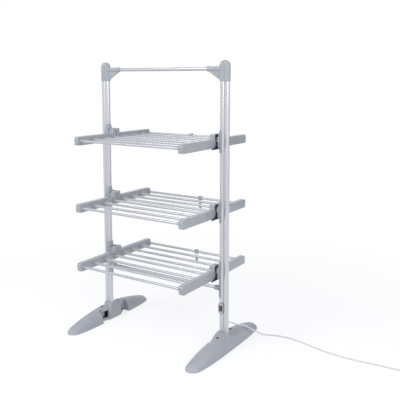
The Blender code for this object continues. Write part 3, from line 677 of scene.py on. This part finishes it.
def make_block():
    """Block with a fork at each end, the flared collar and the arched face (right side)."""
    reach = hinge_set + fork_radius + 0.004
    block = paint(solid("block", foot_rings(-reach, reach)), foot_grey)
    combine(block, "INTERSECT", paint(fork_plan(), foot_grey))
    combine(block, "UNION", paint(make_collar(), foot_grey), paint(make_arch(), foot_grey))
    cutters = []
    top = foot_size(hinge_set)[0]
    slot_height, slot_half = (fork_low + fork_high) / 2, (fork_high - fork_low) / 2
    for way in (front, back):
        near, far = sorted((way * fork_root, way * (reach + 0.004)))
        slot = round_box((near + far) / 2, slot_height, (far - near) / 2, slot_half, 0.0015, 3)
        slot = solid("slot", stretch(slot, "x", post_x - 0.08, post_x + 0.08))
        cutters.append(paint(slot, black_and_painted_shade))
        profile = [(top - 0.0060, 0.0070), (top - 0.0006, 0.0072), (top + 0.004, 0.0088)]
        hole = solid("hole", turned("z", (post_x, way * hinge_set), profile, 32))
        cutters.append(paint(hole, black_and_painted_shade))
    # The walls of the fork slots and screw holes take the cutters' black: painted shade in these
    # recesses.
    combine(block, "DIFFERENCE", *cutters)
    return ease(block, 0.0006, 2, 50)


def make_half():
    """Folding half (right foot, front): a tongue in the fork, and the whale-backed foot."""
    half = solid("half", foot_rings(-foot_length, -(hinge_set - knuckle)))
    back_off = -knuckle - 0.004
    notch_end = arch_reach + 2 * gap
    notch = [(back_off, 0)] + arc(0, 0, knuckle, pi, pi / 2, 16)
    notch += [(notch_end, knuckle), (notch_end, beyond_foot), (back_off, beyond_foot)]
    clear = fork_radius + 0.0008
    plan = arc(0, 0, clear, -pi / 2, 0, 16)
    plan += [(clear, beyond_foot), (back_off, beyond_foot), (back_off, -clear)]
    cutters = []
    for outline, low, high in ((notch, under_floor, over_foot),
                               (plan, under_floor, fork_low + gap),
                               (plan, fork_high - gap, over_foot)):
        points = [(post_x - across, -(hinge_set + along)) for along, across in outline]
        cutters.append(solid("cut", stretch(points, "z", low, high)))
    combine(half, "DIFFERENCE", *cutters)
    return ease(half, 0.0006, 2, 50)


def make_feet():
    block = make_block()
    half = paint(make_half(), foot_grey)
    for side in (left, right):
        mirror = Matrix.Diagonal((side, 1, 1, 1))
        label = side_names[side]
        dress(copy_of(block, label + "_foot_block_moulding", mirror), "frame",
              [label + "_foot_block"])
        for way in (front, back):
            name = label + "_" + way_names[way]
            mirror = Matrix.Diagonal((side, -way, 1, 1))
            dress(copy_of(half, name + "_foot_moulding", mirror), name + "_foot",
                  [name + "_foot_half"])
            top = foot_size(hinge_set)[0]
            centre = (side * post_x, way * hinge_set)
            profile = [(top - 0.0070, 0.0068), (top - 0.0044, 0.0068), (top - 0.0034, 0.0058),
                       (top - 0.0031, 0.0040)]
            screw = solid(name + "_foot_screw", turned("z", centre, profile, 32))
            recess = solid("recess", stretch(circle(*centre, 0.0026, 6), "z",
                                             top - 0.0055, top + 0.002))
            combine(screw, "DIFFERENCE", recess)
            dress(screw, "frame", (), screw_metal)
    drop(block)
    drop(half)


# Switch

def stadium(half_width, half_length, steps=16):
    straight = half_length - half_width
    outline = arc(switch_x, switch_height + straight, half_width, 0, pi, steps)
    return outline + arc(switch_x, switch_height - straight, half_width, pi, 2 * pi, steps)


def make_switch():
    """Oval plate with a dark ring, the rocker's frame, and the rocker, which is red above."""
    plate_half, plate_long, ring, depth = 0.0148, 0.030, 0.0021, 0.0070
    plate = solid("plate", stretch(stadium(plate_half, plate_long), "y",
                                   switch_face, switch_face + depth))
    paint(ease(plate, 0.0013, 3), ring_grey)
    inner = solid("inner", stretch(stadium(plate_half - ring, plate_long - ring), "y",
                                   switch_face - 0.0004, switch_face + 0.003))
    paint(ease(inner, 0.0005, 3), plate_grey)
    rim = solid("rim", stretch(round_box(switch_x, switch_height, 0.0092, 0.0140, 0.0014), "y",
                               switch_face - 0.0010, switch_face + 0.0118))
    paint(ease(rim, 0.0004, 2), black_and_painted_shade)
    combine(plate, "UNION", inner, rim)
    well = solid("well", stretch(round_box(switch_x, switch_height, 0.0081, 0.0129, 0.0006), "y",
                                 switch_face - 0.005, switch_face + 0.0104))
    combine(plate, "DIFFERENCE", paint(well, black_and_painted_shade))
    plate.name = "switch_plate"
    dress(plate, "frame", ["switch_housing"])

    pivot_y = switch_face + 0.0045
    half_width, half_length, crest, tilt = 0.0077, 0.0112, 0.0080, radians(8)
    halves = []
    for way in (1, -1):
        outline = [(0.0035, 0), (-crest + 0.0014, 0), (-crest + 0.0010, way * 0.004),
                   (-crest + 0.0002, way * 0.008), (-crest, way * half_length),
                   (0, way * half_length), (0.0038, way * half_length / 2)]
        points = [(pivot_y + y * cos(tilt) - z * sin(tilt),
                   switch_height + y * sin(tilt) + z * cos(tilt)) for y, z in outline]
        body = solid("rocker", stretch(points, "x", switch_x - half_width, switch_x + half_width))
        halves.append(paint(body, red if way > 0 else dark_red))
    rocker = ease(combine(halves[0], "UNION", halves[1]), 0.0004, 2, 50)
    rocker.name = "switch_rocker_lens"
    dress(rocker, "rocker", ["switch_rocker"])


# Cord

cord_route = [
    (0.3635, 0.0540, 0.1100), (0.3645, 0.0600, 0.1085), (0.3680, 0.0690, 0.1040),
    (0.3750, 0.0870, 0.0950), (0.3820, 0.1060, 0.0842), (0.3900, 0.1240, 0.0765),
    (0.4020, 0.1400, 0.0715), (0.4180, 0.1540, 0.0640), (0.4370, 0.1720, 0.0470),
    (0.4570, 0.1960, 0.0270), (0.4790, 0.2210, 0.0110), (0.5050, 0.2420, 0.0037),
    (0.5400, 0.2570, 0.0036), (0.5900, 0.2640, 0.0036), (0.6500, 0.2600, 0.0036),
    (0.7200, 0.2440, 0.0036), (0.8000, 0.2240, 0.0036), (0.8900, 0.2120, 0.0036),
    (0.9800, 0.2120, 0.0036), (1.0700, 0.2200, 0.0036), (1.1500, 0.2240, 0.0036),
    (1.2100, 0.2240, 0.0036), (1.2350, 0.2240, 0.0036),
]
cord_low = cord_radius + 0.00005
coil_turns, coil_radius, coil_pitch, coil_tail = 3.25, 0.0414, 0.0078, 0.035
turn_points = 24


def coil_points(start):
    """Flat coil of two layers: it spirals in, climbs, and spirals out."""
    centre = Vector((start.x + 2 * cord_radius, start.y + coil_radius, start.z))
    points = []
    for number in range(round(coil_turns * turn_points) + 1):
        turn = number / turn_points
        middle = coil_turns / 2
        radius = coil_radius - coil_pitch * (middle - abs(turn - middle))
        climb = min(max((turn - middle) * 2 + 0.5, 0), 1)
        lift = coil_pitch * climb * climb * (3 - 2 * climb)
        angle = 2 * pi * turn - pi / 2
        points.append(centre + Vector((radius * cos(angle), radius * sin(angle), lift)))
    heading = (points[-1] - points[-2]).normalized()
    heading.z = 0
    points.append(points[-1] + coil_tail * heading)
    return points, heading, centre


def make_gland():
    """Strain relief: a flange on the post and a tapered boot with ribs."""
    root, end = boot_root, boot_root + boot_length
    flange = lobe_radius - 0.002
    profile = [(0.005, 0.0055), (flange, 0.0055), (flange, 0.0080),
               (root - 0.0008, 0.0085), (root, 0.0079), (root, 0.0068)]
    ribs, ribbed, rib_radius, taper = 7, 0.027, 0.0066, 0.0017
    for rib in range(ribs):
        start = root + 0.002 + ribbed * rib / ribs
        radius = rib_radius - taper * rib / ribs
        profile += [(start, radius), (start + 0.0019, radius - 0.0001),
                    (start + 0.0023, radius - 0.0010), (start + 0.0034, radius - 0.0011)]
    profile += [(end - 0.0008, 0.0047), (end, 0.0042), (end + 0.0002, 0.0036)]
    gland = solid("cord_boot", turned("y", (inner_lobe, gland_height), profile, 40))
    return dress(gland, "frame", ["cord_gland"], flex_white, 40)


def make_plug(place, heading):
    """Three-pin plug lying on its back, with ridges for the fingers and sleeved pins."""
    across = Vector((heading.y, -heading.x, 0))
    turn = Matrix(((*(-across), 0), (*heading, 0), (0, 0, 1, 0), (0, 0, 0, 1))).transposed()
    matrix = Matrix.Translation((place.x, place.y, 0)) @ turn
    wide, near, far, thick = 0.024, 0.012, 0.056, 0.021
    rings = []
    for z, inset in ((0.0002, 0.0035), (0.0012, 0.0016), (0.0030, 0.0004), (0.0055, 0),
                     (thick - 0.0015, 0), (thick - 0.0004, 0.0005), (thick, 0.0014)):
        rings.append([(a, b, z) for a, b in round_box(0, (near + far) / 2, wide - inset,
                                                      (far - near) / 2 - inset, 0.006 - inset / 2)])
    plug = solid("mains_plug_body", rings)
    nose = []
    for along, half, low, high in ((0.0, 0.0047, 0.0065, 0.0160), (0.004, 0.0052, 0.0058, 0.0165),
                                   (0.010, 0.0085, 0.0026, 0.0180),
                                   (0.018, 0.0098, 0.0022, 0.0186)):
        middle, rise = (low + high) / 2, (high - low) / 2
        section = round_box(0, middle, half, rise, min(half, rise) * 0.9)
        nose.append([(a, along, b) for a, b in section])
    bodies = [solid("nose", nose)]
    for side in (left, right):
        for ridge in range(5):
            outline = round_box(0.022 + 0.006 * ridge, 0.0115, 0.0009, 0.0050, 0.0008, 3)
            low, high = sorted((side * (wide - 0.001), side * (wide + 0.0007)))
            bodies.append(solid("ridge", stretch(outline, "x", low, high)))
    combine(plug, "UNION", *bodies)
    paint(plug, plug_white)
    seam = solid("seam", stretch(round_box(0, 0.0335, 0.0125, 0.0040, 0.0010, 3), "z",
                                 thick - 0.0004, thick + 0.001))
    combine(plug, "DIFFERENCE", paint(seam, plug_white))
    sleeves, tips = [], []
    earth, pin_rise, pin_side = 0.045, 0.0222, 0.011
    low = thick - 0.003
    for a, b, half_a, half_b, long, sleeve in (
            (0, earth, 0.0020, 0.0040, 0.0227, 0),
            (-pin_side, earth - pin_rise, 0.0032, 0.0020, 0.0177, 0.0095),
            (pin_side, earth - pin_rise, 0.0032, 0.0020, 0.0177, 0.0095)):
        if sleeve:
            outline = round_box(a, b, half_a, half_b, 0.0007, 3)
            sleeves.append(solid("sleeve", stretch(outline, "z", low, thick + sleeve)))
        slim = 0.0002 * (sleeve > 0)
        outline = round_box(a, b, half_a - slim, half_b - slim, 0.0006, 3)
        pin = solid("pin", stretch(outline, "z", low, thick + long))
        tips.append(paint(ease(pin, 0.0005, 2), brass))
    for sleeve in sleeves:
        paint(sleeve, black_and_painted_shade)
    combine(plug, "UNION", *tips, *sleeves)
    plug.data.transform(matrix)
    return dress(plug, "frame", ["mains_plug"])


def make_cord():
    """One unbroken cord from inside its boot, over the foot, along the floor, to the plug."""
    start = Vector((inner_lobe, lobe_radius + 0.0038, gland_height))
    points = [start, Vector((inner_lobe, 0.0300, gland_height)),
              Vector((inner_lobe, 0.0430, gland_height))]
    points += [Vector(point) for point in cord_route]
    turns, heading, centre = coil_points(points[-1] + Vector((gap, 0, 0)))
    points += turns
    curve = bpy.data.curves.new("mains_flex", "CURVE")
    curve.dimensions = "3D"
    curve.bevel_depth = cord_radius
    curve.bevel_resolution = 6
    curve.resolution_u = 5
    curve.use_fill_caps = True
    spline = curve.splines.new("BEZIER")
    spline.bezier_points.add(len(points) - 1)
    for index, knot in enumerate(spline.bezier_points):
        before, after = points[max(index - 1, 0)], points[min(index + 1, len(points) - 1)]
        knot.handle_left_type = knot.handle_right_type = "FREE"
        knot.co = points[index]
        slope = (after - before).normalized()
        knot.handle_left = points[index] - slope * (points[index] - before).length / 3
        knot.handle_right = points[index] + slope * (after - points[index]).length / 3
        knot.handle_left.z = max(knot.handle_left.z, cord_low)
        knot.handle_right.z = max(knot.handle_right.z, cord_low)
    curve.materials.append(flex_white)
    cord = bpy.data.objects.new("mains_flex", curve)
    bpy.context.scene.collection.objects.link(cord)
    dress(cord, "frame", ["mains_cord", "cord_coil"])
    plug = make_plug(points[-1] + heading * gap, heading)
    tie = make_tie(centre)
    make_gland()


def make_tie(centre):
    """Flat band round the coil's turns."""
    inner, outer, top = 0.0245, 0.0455, 0.0158
    wide, thin = 0.0045, 0.0007
    middle = (inner + outer) / 2
    half = (outer - inner) / 2
    height = top / 2
    shell = solid("coil_tie", stretch(round_box(middle, height, half, height - 0.0001, 0.005), "y",
                                      -wide, wide))
    hole = solid("hole", stretch(round_box(middle, height, half - thin, height - thin, 0.0045), "y",
                                 -2 * wide, 2 * wide))
    combine(shell, "DIFFERENCE", hole)
    shell.data.transform(Matrix.Translation((centre.x, centre.y, 0))
                         @ Matrix.Rotation(radians(150), 4, "Z"))
    return dress(shell, "frame", (), black_and_painted_shade)


# Stage and lights

def backdrop_world():
    """White behind the object, softer grey as light on it."""
    world = bpy.data.worlds.new("studio")
    bpy.context.scene.world = world
    world.use_nodes = True
    tree = world.node_tree
    shade = tree.nodes["Background"]
    seen = add_node(tree, "ShaderNodeBackground")
    seen.inputs["Color"].default_value = (1, 1, 1, 1)
    seen.inputs["Strength"].default_value = 1.0
    shade.inputs["Color"].default_value = (0.95, 0.97, 1.0, 1)
    shade.inputs["Strength"].default_value = 0.62
    mix = add_node(tree, "ShaderNodeMixShader")
    tree.links.new(seen_by_eye(tree), mix.inputs[0])
    tree.links.new(shade.outputs[0], mix.inputs[1])
    tree.links.new(seen.outputs[0], mix.inputs[2])
    tree.links.new(mix.outputs[0], tree.nodes["World Output"].inputs["Surface"])


def seen_by_eye(tree):
    """1 for camera, glossy and transmission rays, and 0 for the rest."""
    path = add_node(tree, "ShaderNodeLightPath")
    total = path.outputs["Is Camera Ray"]
    for name in ("Is Glossy Ray", "Is Transmission Ray"):
        node = add_node(tree, "ShaderNodeMath", operation="MAXIMUM")
        tree.links.new(total, node.inputs[0])
        tree.links.new(path.outputs[name], node.inputs[1])
        total = node.outputs[0]
    return total


def emission(tree, colour, strength):
    node = add_node(tree, "ShaderNodeEmission")
    node.inputs["Color"].default_value = (*colour, 1)
    node.inputs["Strength"].default_value = strength
    return node


def make_floor():
    """Pale floor that keeps a soft shadow near the object and fades into the backdrop."""
    bm = bmesh.new()
    bmesh.ops.create_circle(bm, cap_ends=True, radius=6, segments=96)
    mesh = bpy.data.meshes.new("floor")
    bm.to_mesh(mesh)
    bm.free()
    floor = bpy.data.objects.new("floor", mesh)
    bpy.context.scene.collection.objects.link(floor)
    floor.location = (0.2, 0, -0.0002)
    material, tree, shader = new_material("studio_floor")
    tree.nodes.remove(shader)
    matt = add_node(tree, "ShaderNodeBsdfDiffuse")
    matt.inputs["Color"].default_value = (0.40, 0.40, 0.41, 1)
    glow = emission(tree, (1, 1, 1), 0.66)
    near = add_node(tree, "ShaderNodeAddShader")
    tree.links.new(matt.outputs[0], near.inputs[0])
    tree.links.new(glow.outputs[0], near.inputs[1])
    white = emission(tree, (1, 1, 1), 1.0)
    place = add_node(tree, "ShaderNodeTexCoord")
    length = add_node(tree, "ShaderNodeVectorMath", operation="LENGTH")
    tree.links.new(place.outputs["Object"], length.inputs[0])
    fade_from, fade_to = 0.9, 2.2
    fade = ranged(tree, length.outputs["Value"], 0, 1, fade_from, fade_to)
    shown = add_node(tree, "ShaderNodeMixShader")
    tree.links.new(fade, shown.inputs[0])
    tree.links.new(near.outputs[0], shown.inputs[1])
    tree.links.new(white.outputs[0], shown.inputs[2])
    plain = add_node(tree, "ShaderNodeBsdfDiffuse")
    plain.inputs["Color"].default_value = (0.78, 0.78, 0.79, 1)
    mix = add_node(tree, "ShaderNodeMixShader")
    tree.links.new(seen_by_eye(tree), mix.inputs[0])
    tree.links.new(plain.outputs[0], mix.inputs[1])
    tree.links.new(shown.outputs[0], mix.inputs[2])
    tree.links.new(mix.outputs[0], tree.nodes["Material Output"].inputs["Surface"])
    floor.data.materials.append(material)


def make_card(name, centre, width, height, turn, tone):
    """Glowing card that only reflections see: a grey one gives round metal darker sides, and a
    bright one a painted highlight.
    """
    bm = bmesh.new()
    bmesh.ops.create_grid(bm, x_segments=1, y_segments=1, size=0.5)
    mesh = bpy.data.meshes.new(name)
    bm.to_mesh(mesh)
    bm.free()
    card = bpy.data.objects.new(name, mesh)
    bpy.context.scene.collection.objects.link(card)
    card.scale = (width, height, 1)
    card.rotation_euler = (pi / 2, 0, turn)
    card.location = centre
    material, tree, shader = new_material(name + "_reflected_glow")
    tree.nodes.remove(shader)
    glow = emission(tree, tone, 1.0)
    tree.links.new(glow.outputs[0], tree.nodes["Material Output"].inputs["Surface"])
    card.data.materials.append(material)
    card.visible_camera = card.visible_diffuse = card.visible_shadow = False
    card.visible_transmission = card.visible_volume_scatter = False


def add_light(name, place, target, size, power, colour=(1, 1, 1)):
    lamp = bpy.data.lights.new(name, "AREA")
    lamp.shape = "DISK"
    lamp.size = size
    lamp.energy = power
    lamp.color = colour
    light = bpy.data.objects.new(name, lamp)
    light.location = place
    light.rotation_mode = "QUATERNION"
    light.rotation_quaternion = (Vector(target) - Vector(place)).to_track_quat("-Z", "Y")
    bpy.context.scene.collection.objects.link(light)


def make_camera():
    """Camera at the photograph's angle, from the points that were measured on it."""
    azimuth, pitch, focal, frame_width, shift = 0.5731, 0.1090, 596.5, 400, -0.1375
    camera = bpy.data.cameras.new("camera")
    camera.sensor_width = 36
    camera.lens = focal / frame_width * camera.sensor_width
    camera.shift_y = shift
    camera.clip_start = 0.05
    item = bpy.data.objects.new("camera", camera)
    item.location = (1.820, -2.459, 1.3267)
    ahead = Vector((-sin(azimuth) * cos(pitch), cos(azimuth) * cos(pitch), -sin(pitch)))
    item.rotation_mode = "QUATERNION"
    item.rotation_quaternion = ahead.to_track_quat("-Z", "Y")
    bpy.context.scene.collection.objects.link(item)
    bpy.context.scene.camera = item


make_camera()
make_cord()
make_posts()
make_caps()
make_rails()
make_brackets()
make_wings()
make_clips()
make_feet()
make_switch()

backdrop_world()
make_floor()
make_card("right_card", (1.15, 3.0, 1.3), 1.9, 2.5, -0.35, (0.12, 0.125, 0.14))
make_card("left_card", (-3.0, 1.1, 1.3), 1.5, 2.5, 1.22, (0.40, 0.41, 0.43))
# A bright card that only reflections see: a painted highlight on the metal.
make_card("front_card", (2.45, -3.25, 2.0), 1.7, 2.2, 0.64, (1.55, 1.55, 1.55))
add_light("key", (-1.4, -3.2, 3.2), (0, 0, 0.7), 2.2, 63)
add_light("fill", (3.2, -1.6, 2.2), (0, 0, 0.6), 2.5, 34)

scene = bpy.context.scene
scene.view_settings.view_transform = "Standard"
